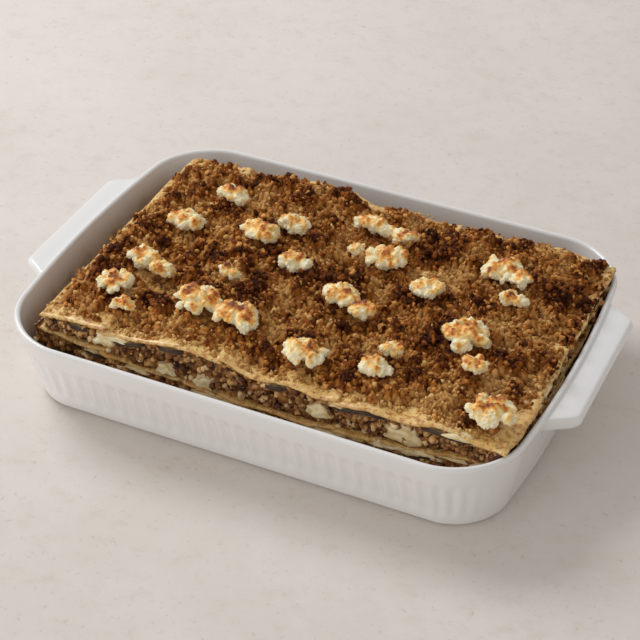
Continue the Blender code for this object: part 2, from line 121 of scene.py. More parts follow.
# Aubergine slices at the front: middle in X, width that shows, and the sheet they lie under
SLICES = (
    (-0.1140, 0.018, "top"), (-0.0800, 0.023, "top"), (-0.0515, 0.023, "top"), (0.0165, 0.020, "top"),
    (0.0680, 0.039, "top"), (0.1195, 0.033, "top"), (-0.1035, 0.017, "middle"), (0.1070, 0.024, "middle"),
)
SLICE_THICKNESS = 0.0042
SLICE_DEPTH = 0.018
SLICE_POINTS = 72

# Rounded side of a slice from its underside to its top: share of its reach, and share of its thickness
SLICE_SECTION = (
    (0.55, 0.0), (0.90, 0.03), (0.97, 0.18), (1.0, 0.50), (0.97, 0.82), (0.90, 0.97), (0.55, 1.0),
)

# White sauce that shows at the front: middle in X and Z, width and height
CREAM = (
    (-0.0975, 0.0555, 0.013, 0.009), (-0.0560, 0.0470, 0.012, 0.007), (-0.0300, 0.0455, 0.012, 0.009),
    (0.0440, 0.0500, 0.014, 0.008), (0.0955, 0.0510, 0.019, 0.011),
)

# Lumps of cheese on top: middle in X and Y, width and depth
CHEESE = (
    (-0.088, 0.054, 0.018, 0.015), (-0.100, 0.013, 0.021, 0.016), (-0.104, -0.036, 0.018, 0.015),
    (-0.089, -0.042, 0.015, 0.012), (-0.107, -0.067, 0.019, 0.016), (-0.092, -0.085, 0.014, 0.010),
    (-0.049, 0.014, 0.022, 0.017), (-0.034, 0.032, 0.018, 0.012), (-0.017, -0.002, 0.018, 0.013),
    (-0.046, -0.033, 0.013, 0.010), (-0.051, -0.067, 0.023, 0.021), (-0.024, -0.070, 0.026, 0.021),
    (0.026, -0.082, 0.024, 0.018), (0.022, -0.021, 0.021, 0.019), (0.040, -0.028, 0.015, 0.013),
    (0.011, 0.060, 0.026, 0.012), (0.010, 0.031, 0.010, 0.010), (0.033, 0.055, 0.016, 0.011),
    (0.032, 0.029, 0.024, 0.019), (0.068, 0.008, 0.019, 0.013), (0.100, 0.048, 0.021, 0.021),
    (0.117, 0.040, 0.014, 0.012), (0.118, 0.019, 0.016, 0.011), (0.106, -0.027, 0.026, 0.024),
    (0.120, -0.053, 0.015, 0.014), (0.141, -0.084, 0.024, 0.021), (0.071, -0.058, 0.012, 0.011),
    (0.069, -0.077, 0.017, 0.012),
)
CHEESE_RISE = 0.0125
CHEESE_BELOW = 0.35
CHEESE_VOXEL = 0.00080
SMEAR_COUNT = 30

# Mince on top, as relief: its steps, and the size and height of its clumps and grains
RELIEF_STEP = 0.00062
RELIEF_ACROSS = 320
RELIEF_SINK = 0.0018
BACK_SPILL = 0.0022
CLUMP_SIZE = 0.0125
CLUMP_RISE = 0.0048
GRAIN_SIZE = 0.0040
FINE_GRAIN_SIZE = 0.0022
GRAIN_RISE = 0.0036
CHAR_RISE = 0.0026
TALLEST = 0.0855

# Loose grains: most of each kind, the size from which a grain has the finer form, and the tries to place them
CRUMB_KINDS = {"pale": 2200, "brown": 3900, "dark": 3300}
CRUMB_SHAPES = 9
LARGE_CRUMB = 0.00120
MARGIN_CRUMBS = 420
MOST_TRIES = 60000

# Camera
CAMERA_AZIMUTH = 23.40
CAMERA_ELEVATION = 36.157
CAMERA_DISTANCE = 1.1835
CAMERA_ROLL = 1.582
CAMERA_TARGET = (-0.0025, 0.0051, 0.0300)
CAMERA_LENS = 105.58

OUTER_HALF_LENGTH = INNER_LENGTH / 2 + LIP
OUTER_HALF_WIDTH = INNER_WIDTH / 2 + LIP


# Small helpers
def smooth_step(value):
    value = min(1.0, max(0.0, value))
    return value * value * (3.0 - 2.0 * value)


def blend(low, high, share):
    return low + (high - low) * share


def ripple(x, y, z, size):
    """Smooth noise between about -1 and 1, with features of the given size."""
    return noise.noise(Vector((x, y, z)) / size)


def ragged(value, place, *waves):
    """A value with noise added to it at a place, in waves that are each given by depth and size."""
    for depth, size in waves:
        value += depth * ripple(*place, size)
    return value


def granule(x, y, z, size):
    """Packed round grains of the given size: 1 on a grain's crown, and 0 in the creases between grains."""
    nearest, second = noise.voronoi(Vector((x, y, z)) / size)[0][:2]
    dome = max(0.0, 1.0 - (nearest * 1.30) ** 2)
    return smooth_step((second - nearest) / 0.55) * 0.45 + dome * 0.55


def add_attribute(mesh, name, values):
    attribute = mesh.attributes.new(name, "FLOAT", "POINT")
    attribute.data.foreach_set("value", np.asarray(values, np.float32))


def finish_piece(name, mesh, material, nodes):
    """Puts a mesh in the scene as a smooth shaded piece that stands for its solids."""
    mesh.materials.append(material)
    mesh.polygons.foreach_set("use_smooth", [True] * len(mesh.polygons))
    piece = bpy.data.objects.new(name, mesh)
    bpy.context.scene.collection.objects.link(piece)
    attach(piece, "root")
    if nodes:
        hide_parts(*nodes)


def mesh_from(name, points, faces):
    mesh = bpy.data.meshes.new(name)
    mesh.from_pydata([tuple(point) for point in points], [], faces)
    bm = bmesh.new()
    bm.from_mesh(mesh)
    bmesh.ops.recalc_face_normals(bm, faces=bm.faces)
    bm.to_mesh(mesh)
    bm.free()
    return mesh


def ring_faces(first, second, count):
    """Quads between two closed rings of points that start at the given indices."""
    faces = []
    for index in range(count):
        following = (index + 1) % count
        faces.append((first + index, first + following, second + following, second + index))
    return faces


def tube_faces(rings, count):
    """Quads between closed rings of points that follow one another, and a lid on both ends."""
    faces = []
    for index in range(rings - 1):
        faces += ring_faces(index * count, (index + 1) * count, count)
    faces.append(tuple(range(count)))
    faces.append(tuple(range((rings - 1) * count, rings * count)))
    return faces


def quarter_angles(first=1):
    """Angles that part a quarter turn in even steps."""
    return [math.pi / 2 * step / QUARTER_STEPS for step in range(first, QUARTER_STEPS + 1)]


# Outlines of the dish
def dish_sizes(z, inset):
    """Half length, half width and corner radius of the dish's outline at a height."""
    share = 1.0 - min(1.0, z / DISH_HEIGHT)
    half_length = OUTER_HALF_LENGTH - END_TAPER * share - inset
    half_width = OUTER_HALF_WIDTH - SIDE_TAPER * share - inset
    return half_length, half_width, RIM_CORNER - CORNER_TAPER * share - inset


def end_bow(y, half_width):
    return END_BOW * (y / half_width) ** 2


def rim_stretches():
    half_length, half_width, corner = dish_sizes(DISH_HEIGHT, 0.0)
    short_side = 2 * (half_width - corner)
    long_side = 2 * (half_length - corner)
    arc = math.pi / 2 * corner
    return (short_side, arc, long_side, arc) * 2


def outline_point(distance, sizes):
    """Point on an outline, found by the distance run round the rim from the start of the right-hand end."""
    half_length, half_width, corner = sizes
    stretches = rim_stretches()
    index = 0
    while index < 7 and distance > stretches[index]:
        distance -= stretches[index]
        index += 1
    share = distance / stretches[index]
    quarter, is_corner = divmod(index, 2)
    reach, span = (half_length, half_width) if quarter % 2 == 0 else (half_width, half_length)
    outward = Vector((math.cos(quarter * math.pi / 2), math.sin(quarter * math.pi / 2)))
    along = Vector((-outward.y, outward.x))
    if is_corner:
        angle = (quarter + share) * math.pi / 2
        point = outward * (reach - corner) + along * (span - corner)
        point += Vector((math.cos(angle), math.sin(angle))) * corner
    else:
        point = outward * reach + along * (span - corner) * (2 * share - 1)
    point.x -= math.copysign(end_bow(point.y, half_width), point.x) * abs(point.x) / half_length
    return point


# Dish
def flute_share(distance):
    """Full fluting along the two long sides, which dies away round the corners and leaves the ends plain."""
    short_side, arc, long_side, _ = rim_stretches()[:4]
    from_side = abs(distance % (short_side + arc + long_side + arc) - (short_side + arc + long_side / 2))
    return 1.0 - smooth_step((from_side - long_side / 2) / (arc * 0.75))


def flute_carve(distance, z, perimeter):
    """Depth of the fluting: shallow upright grooves with round ends."""
    count = round(perimeter / FLUTE_PITCH)
    across = abs(2.0 * ((distance * count / perimeter) % 1.0) - 1.0)
    end_length = FLUTE_PITCH * 0.9
    past_top = max(0.0, (z - (FLUTE_TOP - end_length)) / end_length)
    past_bottom = max(0.0, ((FLUTE_BOTTOM + end_length) - z) / end_length)
    spread = math.hypot(1.0 - across, max(past_top, past_bottom))
    return FLUTE_DEPTH * flute_share(distance) * smooth_step(1.0 - spread)


def handle_extent(y):
    """How far the handle stands out past the wall's outline at a place along the end."""
    offset = abs(y - HANDLE_MIDDLE) / HANDLE_HALF_LENGTH
    middle = HANDLE_TOP - HANDLE_THICKNESS / 2
    half_length, half_width, _ = dish_sizes(middle, 0.0)
    wall = half_length - end_bow(y, half_width)
    return (HANDLE_REACH - wall) * smooth_step((1.04 - offset) / 0.26)


def handle_path(extent):
    """Rounded section of the slab, as steps out and up, from its lower root to its upper root."""
    half = HANDLE_THICKNESS / 2
    middle = HANDLE_TOP - half
    rounding = min(HANDLE_ROUNDING, extent * 0.5)
    run = extent - rounding
    path = [(run * share, middle - half) for share in HANDLE_SHARES]
    for angle in quarter_angles():
        path.append((run + rounding * math.sin(angle), middle - half + half * (1.0 - math.cos(angle))))
    for angle in quarter_angles():
        path.append((run + rounding * math.cos(angle), middle + half * math.sin(angle)))
    path += [(run * share, middle + half) for share in HANDLE_SHARES[-2::-1]]
    return path


HANDLE_STEPS = len(handle_path(0.01))


def handle_row(distances, index):
    """One line of points along the wall and handles, part of the way up the slab."""
    share = index / (HANDLE_STEPS - 1)
    plain = blend(HANDLE_TOP - HANDLE_THICKNESS, HANDLE_TOP, share)
    row = []
    for distance in distances:
        wall = outline_point(distance, dish_sizes(plain, 0.0))
        extent = handle_extent(wall.y) if abs(wall.x) > INNER_LENGTH * 0.4 else 0.0
        out, z = handle_path(extent)[index]
        height = blend(plain, z, smooth_step(extent / 0.004))
        row.append((wall.x + math.copysign(out, wall.x), wall.y, height))
    return row


def wall_row(distances, z, inset, fluted=False):
    perimeter = sum(rim_stretches())
    row = []
    for distance in distances:
        carve = flute_carve(distance, z, perimeter) if fluted else 0.0
        point = outline_point(distance, dish_sizes(z, inset + carve))
        row.append((point.x, point.y, z))
    return row


def foot_rows(distances):
    """Rows of points from the middle of the underside, over its flat foot, to the wall."""
    rows = [wall_row(distances, z, inset) for z, inset in FOOT_PROFILE]
    for angle in quarter_angles(0):
        z = FOOT_ROUNDING * (1 - math.cos(angle))
        rows.append(wall_row(distances, z, FOOT_ROUNDING * (1 - math.sin(angle))))
    return rows


def fluted_rows(distances):
    """Rows up the outside of the wall, closest together at the round ends of the flutes."""
    rows = []
    for step in range(FLUTE_ROWS + 1):
        share = step / FLUTE_ROWS
        z = blend(FLUTE_BOTTOM - 0.0005, FLUTE_TOP + 0.0005, smooth_step(share) * 0.5 + share * 0.5)
        rows.append(wall_row(distances, z, 0.0, True))
    return rows


def lip_rows(distances):
    """Rows over the round top of the rim."""
    radius = (LIP - LIP_INSET) / 2
    rows = []
    for step in range(LIP_STEPS + 1):
        angle = math.pi * step / LIP_STEPS
        z = DISH_HEIGHT - radius * (1 - math.sin(angle))
        rows.append(wall_row(distances, z, LIP_INSET + radius * (1 - math.cos(angle))))
    return rows


def inner_rows(distances):
    """Rows down the inside of the wall and round to the floor."""
    rows = []
    for z in INNER_HEIGHTS:
        rows.append(wall_row(distances, z, blend(LIP, WALL, (DISH_HEIGHT - z) / DISH_HEIGHT)))
    for angle in quarter_angles():
        z = FLOOR + INNER_ROUNDING * (1 - math.sin(angle))
        rows.append(wall_row(distances, z, WALL + INNER_ROUNDING * (1 - math.cos(angle))))
    return rows


def stain_amount(point, is_inside):
    """Baked-on splashes on the inside of the wall, darkest where the food stands against it."""
    x, y, z = point
    if not is_inside:
        return 0.0
    reach = ragged(STAIN_REACH, (x, y, 0.0), (0.0090, 0.030), (0.0030, 0.007))
    return smooth_step((DISH_HEIGHT - STAIN_BELOW_RIM - z) / max(0.004, reach))


def build_dish():
    """Dish with its two handles: rows of points from under the foot, over the rim, to the floor inside."""
    perimeter = sum(rim_stretches())
    count = POINTS_PER_FLUTE * round(perimeter / FLUTE_PITCH)
    distances = [perimeter * index / count for index in range(count)]
    outer = foot_rows(distances) + fluted_rows(distances)
    outer += [handle_row(distances, index) for index in range(HANDLE_STEPS)]
    rows = outer + lip_rows(distances) + inner_rows(distances)
    points = [point for row in rows for point in row]
    mesh = mesh_from("dish_surface", points, tube_faces(len(rows), count))
    first_inside = (len(outer) + LIP_STEPS - 2) * count
    stains = [stain_amount(point, index >= first_inside) for index, point in enumerate(points)]
    add_attribute(mesh, "stain", stains)
    finish_piece("baking_dish", mesh, ceramic_material(), ["dish"])


# Layers of the food
def edge_wave(x):
    """Height of the wavy edge, eased between the points of EDGE_WAVE."""
    if x <= EDGE_WAVE[0][0]:
        return EDGE_WAVE[0][1]
    for (x0, z0), (x1, z1) in zip(EDGE_WAVE, EDGE_WAVE[1:]):
        if x <= x1:
            return z0 + (z1 - z0) * smooth_step((x - x0) / (x1 - x0))
    return EDGE_WAVE[-1][1]


def sheet_bottom(level, x):
    if level == "top":
        return TOP_SHEET_HEIGHT + edge_wave(x)
    share = abs(min(0.135, max(-0.135, x)) - 0.009) / 0.130
    return MIDDLE_SHEET_HEIGHT + MIDDLE_SHEET_RISE * share ** 2 + 0.0008 * math.sin(x * 110)


def fit_in_dish(x, y, z):
    """Moves a point that would touch the dish's wall to just inside it."""
    if z > DISH_HEIGHT + CLEARANCE:
        return Vector((x, y, z))
    thickness = WALL + max(0.0, FLOOR + INNER_ROUNDING - z)
    half_length, half_width, corner = dish_sizes(z, thickness + CLEARANCE)
    bow = end_bow(y, half_width)
    across = min(abs(x) + bow, half_length)
    deep = min(abs(y), half_width)
    past_x = across - (half_length - corner)
    past_y = deep - (half_width - corner)
    if past_x > 0 and past_y > 0 and math.hypot(past_x, past_y) > corner:
        shrink = corner / math.hypot(past_x, past_y)
        across = half_length - corner + past_x * shrink
        deep = half_width - corner + past_y * shrink
    return Vector((math.copysign(across - bow, x), math.copysign(deep, y), z))


def even_steps(start, end, step):
    count = max(1, round((end - start) / step))
    return [start + (end - start) * index / count for index in range(count + 1)]


def sheet_rows():
    """Places across the dish, closest together near the front and back edges of a sheet."""
    front = [FOOD_FRONT + offset for offset in even_steps(0.0, 0.018, 0.0016)]
    back = [FOOD_BACK - offset for offset in even_steps(0.0, 0.010, 0.0020)]
    middle = even_steps(front[-1], back[-1], 0.0110)[1:-1]
    return front + middle + back[::-1]


def sheet_lift(x, left, right, number):
    """Height that every second sheet gains near its ends, which lie on its neighbours."""
    return SHEET * 0.95 * smooth_step(1.0 - min(x - left, right - x) / 0.020) if number % 2 else 0.0


def sheet_layer(level, number, start, end, inset, height):
    """Grid of points of one sheet at a share of its thickness, drawn in from its edges by an inset."""
    seed = number * 0.31 + (0.11 if level == "top" else 0.47)
    rows = sheet_rows()
    points = []
    for x in even_steps(start, end, SHEET_STEP):
        to_end = (x - start) / (end - start)
        is_outer = (number == 1 and to_end < 0.2) or (number == SHEET_COUNT and to_end > 0.8)
        front = ragged(FOOD_FRONT, (x, -0.3, seed), (0.0026, 0.021), (0.0011, 0.006))
        back = ragged(FOOD_BACK, (x, 0.3, seed), (0.0030, 0.021), (0.0011, 0.006))
        for y in rows:
            pull = ragged(0.0, (0.2, y, seed), (0.0030, 0.016), (0.0010, 0.005))
            placed_x = blend(start + inset + pull * 0.6, end - inset + pull, to_end)
            share = (y - FOOD_FRONT) / (FOOD_BACK - FOOD_FRONT)
            limp = 0.0006 * ripple(x, y, seed, 0.012) * smooth_step(1.0 - min(share, 1.0 - share) / 0.10)
            lift = 0.0010 * ripple(0.5, y, seed, 0.020) if is_outer else sheet_lift(x, start, end, number)
            z = sheet_bottom(level, placed_x) + SHEET * height + limp + lift
            points.append(fit_in_dish(placed_x, blend(front + inset, back - inset, share), z))
    return points


def slab_mesh(name, layers, long, wide):
    """Closed slab from stacked grids of points, of which only the first and last are filled in."""
    border = [i * wide for i in range(long - 1)]
    border += [(long - 1) * wide + j for j in range(wide - 1)]
    border += [i * wide + wide - 1 for i in range(long - 1, 0, -1)]
    border += list(range(wide - 1, 0, -1))
    size = long * wide
    points = layers[0] + layers[-1]
    faces = []
    for i in range(long - 1):
        for j in range(wide - 1):
            corner = i * wide + j
            quad = (corner, corner + wide, corner + wide + 1, corner + 1)
            faces.append(quad[::-1])
            faces.append(tuple(size + vert for vert in quad))
    rings = [border]
    for layer in layers[1:-1]:
        rings.append(list(range(len(points), len(points) + len(border))))
        points += [layer[vert] for vert in border]
    rings.append([size + vert for vert in border])
    for low, high in zip(rings, rings[1:]):
        for index in range(len(border)):
            following = (index + 1) % len(border)
            faces.append((low[index], low[following], high[following], high[index]))
    return mesh_from(name, points, faces)


def build_sheet(level, number, left, right):
    """Limp sheet of pasta with a rounded ragged edge."""
    overlap = SHEET_OVERLAP if number % 2 else 0.0
    start = left - (overlap if number > 1 else 0.0)
    end = right + (overlap if number < SHEET_COUNT else -GAP)
    layers = [sheet_layer(level, number, start, end, *part) for part in SHEET_SECTION]
    name = f"pasta_sheet_{level}_{number}"
    mesh = slab_mesh(name, layers, len(even_steps(start, end, SHEET_STEP)), len(sheet_rows()))
    add_attribute(mesh, "browned", [sheet_browning(vert.co) for vert in mesh.vertices])
    finish_piece(name, mesh, pasta_material(), [f"pasta_{level}_{number}"])


def sheet_browning(point):
    """Browned and dried places, mostly along the outer edges."""
    x, y, _ = point
    to_edge = min(y - FOOD_FRONT, FOOD_BACK - y, x - FOOD_LEFT, FOOD_RIGHT - x)
    return smooth_step(0.36 - to_edge / 0.006 + 0.60 * ripple(x, y, 0.6, 0.011))


def build_sheets():
    ends = (FOOD_LEFT, *SHEET_ENDS, FOOD_RIGHT)
    for level in ("middle", "top"):
        for number, (left, right) in enumerate(zip(ends, ends[1:]), 1):
            build_sheet(level, number, left, right)


def food_outline(left, right):
    """Places round the four sides of a filling, as a position and the direction out of the food."""
    front = FOOD_FRONT + 0.0030
    back = FOOD_BACK - 0.0030
    along = even_steps(left, right, FILLING_STEP)
    across = even_steps(front, back, FILLING_STEP)
    places = [(x, front, 0.0, -1.0) for x in along[:-1]]
    places += [(right, y, 1.0, 0.0) for y in across[:-1]]
    places += [(x, back, 0.0, 1.0) for x in along[:0:-1]]
    places += [(left, y, -1.0, 0.0) for y in across[:0:-1]]
    return places, len(along), len(across)


def filling_depth(x, y, z):
    """How far the side of a filling stands out at a place, in clumps and grains."""
    clumps = 0.0022 * ripple(x, y, z, 0.0085)
    return clumps + 0.0026 * granule(x, y, z, FILLING_GRAIN) + 0.0008 * granule(x, z, y, 0.0020) - 0.0014


def build_filling(name, node, left, right, bottom, top, levels):
    """Layer of cooked mince: a grainy block whose four sides show between the sheets."""
    places, along, across = food_outline(left, right)
    points = []
    crowns = []
    for level in range(levels + 1):
        share = level / levels
        for x, y, out_x, out_y in places:
            z = blend(bottom(x), top(x), share)
            depth = filling_depth(x, y, z)
            point = fit_in_dish(x + out_x * depth, y + out_y * depth, min(z, DISH_HEIGHT))
            points.append((point.x, point.y, z))
            crowns.append(granule(x, y, z, FILLING_GRAIN))
    count = len(places)
    faces = []
    for level in range(levels):
        faces += ring_faces(level * count, (level + 1) * count, count)
    for base, turned in ((0, True), (levels * count, False)):
        faces += ladder_faces(base, along, across, turned)
    mesh = mesh_from(name, points, faces)
    # The crown values set where the material paints shade into the creases between the grains.
    add_attribute(mesh, "crown", crowns)
    finish_piece(name, mesh, filling_material(), [node])


def ladder_faces(base, along, across, turned):
    """Closes the top or underside of a block with strips that run across it."""
    count = 2 * (along - 1) + 2 * (across - 1)
    front = list(range(along))
    back = [(along - 1) + (across - 1) + (along - 1 - index) for index in range(along)]
    faces = []
    for index in range(along - 1):
        faces.append((front[index], front[index + 1], back[index + 1], back[index]))
    right_side = list(range(along - 1, along - 1 + across))
    left_side = list(range(2 * (along - 1) + (across - 1), count)) + [0]
    faces.append(tuple(right_side[::-1]))
    faces.append(tuple(left_side[::-1]))
    faces = [tuple(base + vert % count for vert in face) for face in faces]
    return [face[::-1] for face in faces] if turned else faces


def build_fillings():
    build_filling(
        "mince_layer_bottom", "filling_bottom", BOTTOM_FILLING_LEFT, FILLING_RIGHT,
        lambda x: FLOOR + 0.0006, lambda x: sheet_bottom("middle", x) - 0.0001, 22)
    build_filling(
        "mince_layer_middle", "filling_middle", MIDDLE_FILLING_LEFT, FILLING_RIGHT,
        lambda x: sheet_bottom("middle", x) + SHEET * 0.9, lambda x: sheet_bottom("top", x) - 0.0001, 20)


def build_slices():
    for index, (middle, width, level) in enumerate(SLICES):
        build_slice(index + 1, middle, width, level)


def build_slice(number, middle, width, level):
    """Fried aubergine slice: dark skin round its edge and soft flesh inside."""
    half_length = width * 0.58
    centre = FOOD_FRONT + 0.0020 + SLICE_DEPTH - 0.0025
    points = []
    skins = []
    for share, height in SLICE_SECTION:
        skin = smooth_step((share - 0.93) / 0.05) * blend(0.25, 1.0, smooth_step((height - 0.15) / 0.45))
        for step in range(SLICE_POINTS):
            angle = math.tau * step / SLICE_POINTS
            along = math.copysign(abs(math.cos(angle)) ** 0.7, math.cos(angle))
            deep = math.copysign(abs(math.sin(angle)) ** 0.7, math.sin(angle))
            x = middle + half_length * share * along
            y = centre + SLICE_DEPTH * share * deep
            droop = 0.0010 * ripple(x, y, number, 0.012) - 0.0008 * (along * share) ** 2
            low = sheet_bottom(level, x) - GAP - SLICE_THICKNESS
            points.append((x, y, low + SLICE_THICKNESS * height + min(0.0, droop)))
            skins.append(skin)
    faces = []
    rows = len(SLICE_SECTION)
    for row in range(rows - 1):
        faces += ring_faces(row * SLICE_POINTS, (row + 1) * SLICE_POINTS, SLICE_POINTS)
    faces.append(tuple(range(SLICE_POINTS))[::-1])
    faces.append(tuple(range((rows - 1) * SLICE_POINTS, rows * SLICE_POINTS)))
    name = f"aubergine_slice_{number}"
    mesh = mesh_from(name, points, faces)
    add_attribute(mesh, "skin", skins)
    finish_piece(name, mesh, aubergine_material(), [f"aubergine_{number}"])


def blob_points(subdivisions):
    """Directions and faces of an evenly divided ball."""
    bm = bmesh.new()
    bmesh.ops.create_icosphere(bm, subdivisions=subdivisions, radius=1.0)
    bm.verts.ensure_lookup_table()
    directions = [vert.co.normalized() for vert in bm.verts]
    faces = [tuple(vert.index for vert in face.verts) for face in bm.faces]
    bm.free()
    return directions, faces


def sauce_blob(directions, number, middle, half_size, is_side=False):
    """Uneven blob of thick sauce that sags at both ends, along X or, on the right side, along Y."""
    points = []
    for direction in directions:
        fold = 1.0 + 0.46 * ripple(direction.x + number, direction.y, direction.z, 0.70)
        fold += 0.14 * ripple(direction.x, direction.y + number, direction.z, 0.30)
        along, out, up = (half * part * fold for half, part in zip(half_size, direction))
        up -= 0.0016 * direction.x ** 2
        offset = (-out, along, up) if is_side else (along, out, up)
        points.append(fit_in_dish(*(Vector(middle) + Vector(offset))))
    return points


def build_creams():
    directions, faces = blob_points(4)
    for number, (x, z, width, height) in enumerate(CREAM, 1):
        middle = (x, FOOD_FRONT + 0.0035, z)
        points = sauce_blob(directions, number, middle, (width * 0.58, 0.0050, height * 0.56))
        name = f"white_sauce_{number}"
        mesh = mesh_from(name, points, faces)
        finish_piece(name, mesh, sauce_material(), [f"cream_{number}"])


def build_smears():
    """Sauce that has run out from under the sheets along the front and the right side."""
    generator = random.Random(SEED + 3)
    directions, blob_faces = blob_points(3)
    points = []
    faces = []
    for number in range(SMEAR_COUNT):
        level = generator.choice(("middle", "middle", "top"))
        is_side = number % 4 == 0
        half_size = (generator.uniform(0.004, 0.011), 0.0032, generator.uniform(0.0012, 0.0026))
        x = FOOD_RIGHT - 0.0030 if is_side else generator.uniform(FOOD_LEFT + 0.010, FOOD_RIGHT - 0.012)
        y = generator.uniform(FOOD_FRONT + 0.012, FOOD_BACK - 0.012) if is_side else FOOD_FRONT + 0.0026
        middle = (x, y, sheet_bottom(level, x) - half_size[2] * 0.2)
        faces += [tuple(len(points) + vert for vert in face) for face in blob_faces]
        points += sauce_blob(directions, number + 0.5, middle, half_size, is_side)
    mesh = mesh_from("sauce_smears", points, faces)
    finish_piece("sauce_smears", mesh, sauce_material(), [])


# Browned mince on top
def top_inset(x):
    """How far the mince stops short of the front edge of the pasta."""
    inset = 0.0064 + 0.0080 * ripple(x, 0.0, 0.7, 0.022) + 0.0020 * ripple(x, 0.0, 0.3, 0.008)
    return max(0.0016, inset)


def top_limits(x):
    front = FOOD_FRONT + top_inset(x)
    back = FOOD_BACK - 0.0035 - 0.0020 * ripple(x, 1.0, 0.2, 0.019)
    return front, back


def right_limit(y):
    """The mince stops short of the pasta's edge near the front right corner."""
    return FOOD_RIGHT - 0.0012 - 0.0100 * smooth_step((-0.045 - y) / 0.035)


class MinceSurface:
    """Height of the crumbled mince, taken from its solid and broken up into clumps and grains."""

    def __init__(self, solid):
        mesh = solid.data
        points = [vert.co.copy() for vert in mesh.vertices]
        faces = [tuple(face.vertices) for face in mesh.polygons]
        self.tree = BVHTree.FromPolygons(points, faces)

    def solid_height(self, x, y):
        hit = self.tree.ray_cast(Vector((x, y, 0.2)), Vector((0, 0, -1)))[0]
        if hit is not None:
            return hit.z
        return sheet_bottom("top", x) + SHEET + (0.0038 if y < 0.0 else 0.0018)

    def base(self, x, y):
        """Solid's height, eased over a few millimetres."""
        reach = 0.0020
        around = ((0, 0), (1, 0), (-1, 0), (0, 1), (0, -1))
        return sum(self.solid_height(x + dx * reach, y + dy * reach) for dx, dy in around) / len(around)

    def sample(self, x, y):
        """Height of a place, how browned it is, and how near the crown of its own grain it lies."""
        base = self.base(x, y)
        warp = 0.0012 * ripple(x, y, 0.9, 0.0045)
        clump = granule(x + 2.5 * warp, y - 2.5 * warp, 0.0013, CLUMP_SIZE)
        crown = 0.58 * granule(x + warp, y - warp, 0.0031, GRAIN_SIZE)
        crown += 0.42 * granule(x - warp, y + warp, 0.0077, FINE_GRAIN_SIZE)
        raised = (base - sheet_bottom("top", x) - SHEET - TOP_DEPTH) / 0.0060
        patches = 0.84 * ripple(x, y, 0.5, 0.0170) + 0.38 * ripple(x, y, 0.2, 0.0070)
        char = min(1.0, max(0.0, 0.17 + 0.16 * raised + 0.62 * clump + patches))
        height = base - 0.0014 + CHAR_RISE * (smooth_step(char) - 0.5) + CLUMP_RISE * (clump - 0.50)
        return min(TALLEST, height + GRAIN_RISE * (crown - 0.45)), char, crown


def edge_rounding(x, y, front, back, shift=0.0):
    """Share of the mince's height that is left near its edges."""
    to_edge = min(x - FOOD_LEFT + shift, right_limit(y) - x + shift, y - front, back - y)
    return smooth_step(0.30 + to_edge / 0.0035)


def build_mince_core(surface):
    """Relief of the mince between the loose grains, in two halves."""
    columns = even_steps(FOOD_LEFT + 0.0008, FOOD_RIGHT - 0.0010, RELIEF_STEP)
    half = len(columns) // 2
    build_mince_half("mince_relief_left", surface, columns[:half + 1])
    build_mince_half("mince_relief_right", surface, columns[half:])


def build_mince_half(name, surface, columns):
    """Closed block under the given columns of the relief, which sinks into the sheets at its edges."""
    points = []
    chars = []
    crowns = []
    for x in columns:
        front, back = top_limits(x)
        front += 0.0016 * ripple(x, 0.0, 0.4, 0.006)
        back += BACK_SPILL + 0.0012 * ripple(x, 1.0, 0.4, 0.006)
        floor = sheet_bottom("top", x) + SHEET * 0.8
        line = [blend(front, back, step / (RELIEF_ACROSS - 1)) for step in range(RELIEF_ACROSS)]
        for step, y in enumerate([front, *line, back]):
            shift = ragged(0.0, (0.4, y, 0.3), (0.0022, 0.008), (0.0010, 0.003)) - 0.0012
            is_raised = 0 < step < RELIEF_ACROSS + 1
            rounding = edge_rounding(x, y, front, back, shift) if is_raised else 0.0
            height, char, crown = surface.sample(x, y)
            z = floor + max(0.0006, height - floor) * rounding - RELIEF_SINK * (1.0 - rounding)
            points.append((x, y, z))
            chars.append(char)
            crowns.append(crown)
    mesh = mesh_from(name, points, tube_faces(len(columns), RELIEF_ACROSS + 2))
    add_attribute(mesh, "char", chars)
    # The crown values set where the material paints shade into the creases between the grains.
    add_attribute(mesh, "crown", crowns)
    finish_piece(name, mesh, mince_material("relief"), ["mince_top"])


def crumb_shapes(generator, subdivisions):
    """Several uneven grains of about unit radius."""
    directions, faces = blob_points(subdivisions)
    shapes = []
    for index in range(CRUMB_SHAPES):
        stretch = [generator.uniform(0.58, 1.25) for _ in range(3)]
        points = []
        for direction in directions:
            bump = 1.0 + 0.60 * ripple(direction.x + index * 3.7, direction.y, direction.z, 0.75)
            bump += 0.42 * ripple(direction.x, direction.y + index * 2.3, direction.z, 0.36)
            points.append([part * bump * factor for part, factor in zip(direction, stretch)])
        shapes.append(np.array(points))
    return shapes, np.array(faces)


def join_crumbs(name, placements, generator):
    """One mesh of many grains, each with a place, a size and a tone of its own."""
    coarse = crumb_shapes(generator, 1)
    fine = crumb_shapes(generator, 2)
    all_points = []
    all_faces = []
    tones = []
    start = 0
    for place, size, tone in placements:
        shapes, faces = fine if size > LARGE_CRUMB else coarse
        turn = np.array(Euler([generator.uniform(0.0, math.tau) for _ in range(3)]).to_matrix())
        shape = shapes[generator.randrange(len(shapes))]
        all_points.append(shape @ turn.T * size + np.array(place))
        all_faces.append(faces + start)
        tones += [tone] * len(shape)
        start += len(shape)
    mesh = bpy.data.meshes.new(name)
    mesh.from_pydata(np.concatenate(all_points).tolist(), [], np.concatenate(all_faces).tolist())
    add_attribute(mesh, "tone", tones)
    return mesh


def in_cheese(x, y, margin):
    for cheese_x, cheese_y, width, depth in CHEESE:
        if math.hypot((x - cheese_x) / (width / 2 + margin), (y - cheese_y) / (depth / 2 + margin)) < 1.0:
            return True
    return False


